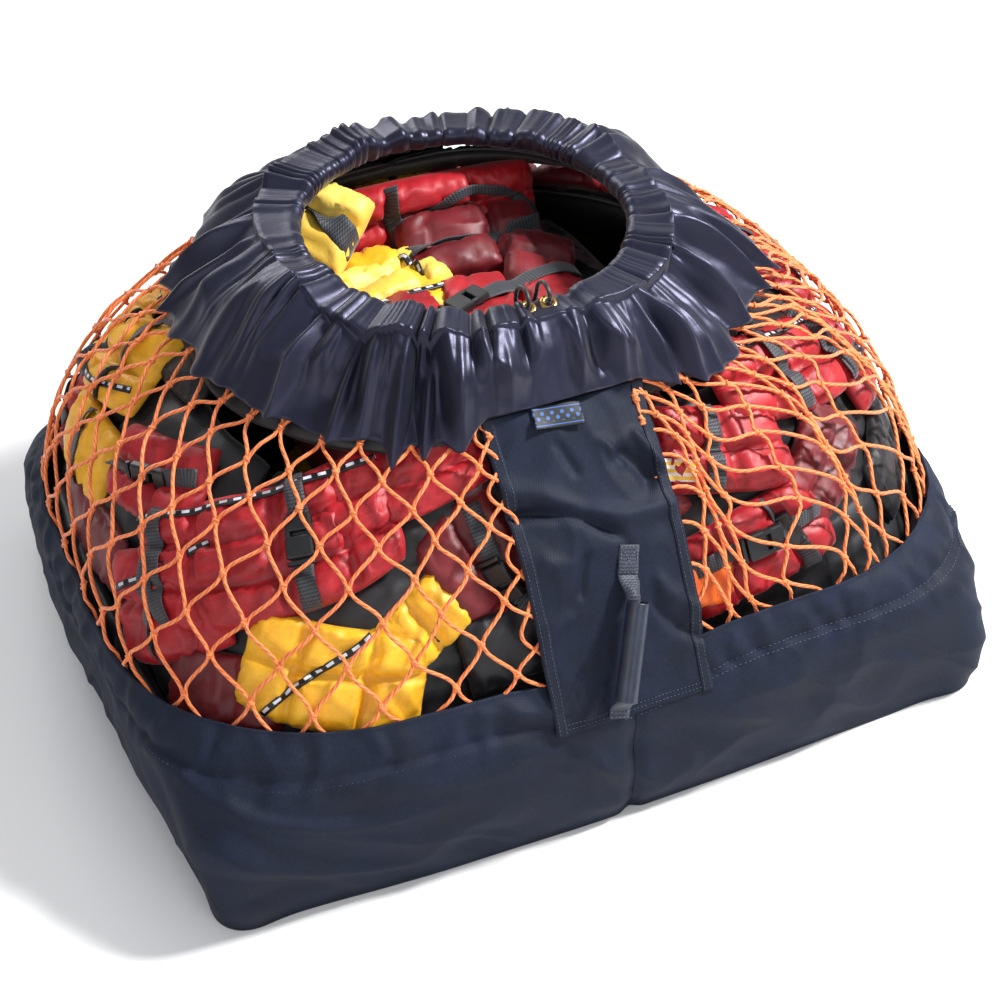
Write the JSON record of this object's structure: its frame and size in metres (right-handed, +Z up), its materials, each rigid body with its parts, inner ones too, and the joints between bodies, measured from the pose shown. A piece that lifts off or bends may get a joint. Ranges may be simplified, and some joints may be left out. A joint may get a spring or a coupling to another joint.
{
  "type": "mesh gear bag",
  "caption": "Large rectangular gear bag: packcloth tub, knotted net dome, gathered drawcord collar and two grab handles, shown full of life jackets.",
  "frame": {"origin": "centre of the underside of the bag's bottom panel, on the surface that it stands on", "axes": "+Z up, -Y towards the front panel and its label, +X along the long side, to the right of someone who faces the front"},
  "size_m": [1.0768, 0.9216, 0.5796],
  "materials": {
    "packcloth": "coarse navy packcloth, matt",
    "taffeta": "coated navy taffeta with a soft sheen",
    "netting": "knotted orange twine netting",
    "webbing": "woven nylon webbing",
    "cord": "braided black cord",
    "elastic": "woven elastic",
    "grip": "smooth dark vinyl tube",
    "brass": "rolled brass",
    "lock_plastic": "moulded black plastic",
    "spring_steel": "drawn wire",
    "label": "woven label, blue on black",
    "jacket_red": "red nylon over foam",
    "jacket_yellow": "yellow nylon over foam",
    "jacket_trim": "black webbing, buckles and piping"
  },
  "bodies": {
    "bag": {"bottom_panel": "packcloth", "left_tub_wall": "packcloth", "right_tub_wall": "packcloth", "left_hem_casing": "packcloth", "right_hem_casing": "packcloth", "left_hem_elastic": "elastic", "right_hem_elastic": "elastic", "left_netting": "netting", "right_netting": "netting", "collar_band": "taffeta", "drawcord_casing": "taffeta", "drawcord_grommets": "brass", "drawcord": "cord", "drawcord_knot": "cord", "front_panel": "packcloth", "front_panel_bindings": "packcloth", "back_panel": "packcloth", "back_panel_bindings": "packcloth", "front_handle_top_patch": "webbing", "front_handle_bottom_patch": "webbing", "back_handle_top_patch": "webbing", "back_handle_bottom_patch": "webbing", "woven_label": "label", "packed_jacket_middle_1": "jacket_red", "packed_jacket_middle_2": "jacket_yellow", "packed_jacket_middle_3": "jacket_red", "red_jacket_behind_mouth": "jacket_red", "packed_jacket_front_left_lower": "jacket_yellow", "packed_jacket_front_left_upper": "jacket_red", "packed_jacket_front_right_lower": "jacket_red", "packed_jacket_front_right_upper": "jacket_red", "packed_jacket_left_lower": "jacket_red", "packed_jacket_left_upper": "jacket_yellow", "packed_jacket_right_lower": "jacket_yellow", "packed_jacket_right_upper": "jacket_red", "packed_jacket_back_left_lower": "jacket_red", "packed_jacket_back_left_upper": "jacket_yellow", "packed_jacket_back_right_lower": "jacket_red", "packed_jacket_back_right_upper": "jacket_red"},
    "front_handle": {"front_handle_webbing": "webbing"},
    "front_grip": {"front_grip": "grip"},
    "back_handle": {"back_handle_webbing": "webbing"},
    "back_grip": {"back_grip": "grip"},
    "cord_lock": {"cord_lock_barrel": "lock_plastic", "cord_lock_spring": "spring_steel"},
    "lock_plunger": {"cord_lock_plunger": "lock_plastic"},
    "red_jacket": {"red_jacket_on_top": "jacket_red"},
    "yellow_jacket": {"yellow_jacket_on_top": "jacket_yellow"}
  },
  "joints": [
    {"name": "front_handle_swing", "type": "hinge", "parent": "bag", "child": "front_handle", "pos_m": [-0.026, -0.42437, 0.17879], "axis": [0.3256, 0.4437, 0.8349], "range_deg": [-50, 50], "stiffness_Nm_per_rad": 0.05},
    {"name": "front_grip_spin", "type": "hinge", "parent": "front_handle", "child": "front_grip", "pos_m": [-0.02079, -0.43767, 0.20299], "axis": [0.3256, 0.4437, 0.8349], "continuous": true},
    {"name": "back_handle_swing", "type": "hinge", "parent": "bag", "child": "back_handle", "pos_m": [0, 0.43787, 0.17145], "axis": [0, -0.0691, 0.9976], "range_deg": [-50, 50], "stiffness_Nm_per_rad": 0.05},
    {"name": "back_grip_spin", "type": "hinge", "parent": "back_handle", "child": "back_grip", "pos_m": [0, 0.45981, 0.18901], "axis": [0, -0.0691, 0.9976], "continuous": true},
    {"name": "cord_lock_slide", "type": "slide", "parent": "bag", "child": "cord_lock", "axis": [0, 0, 1], "range_m": [-0.02, 0.015]},
    {"name": "plunger_press", "type": "slide", "parent": "cord_lock", "child": "lock_plunger", "axis": [-1, 0, 0], "range_m": [0, 0.004], "stiffness_N_per_m": 300, "springref_m": -0.003},
    {"name": "red_jacket_lift", "type": "slide", "parent": "bag", "child": "red_jacket", "axis": [0, 0, 1], "range_m": [0, 0.25]},
    {"name": "yellow_jacket_lift", "type": "slide", "parent": "bag", "child": "yellow_jacket", "axis": [0, 0, 1], "range_m": [0, 0.25]}
  ]
}
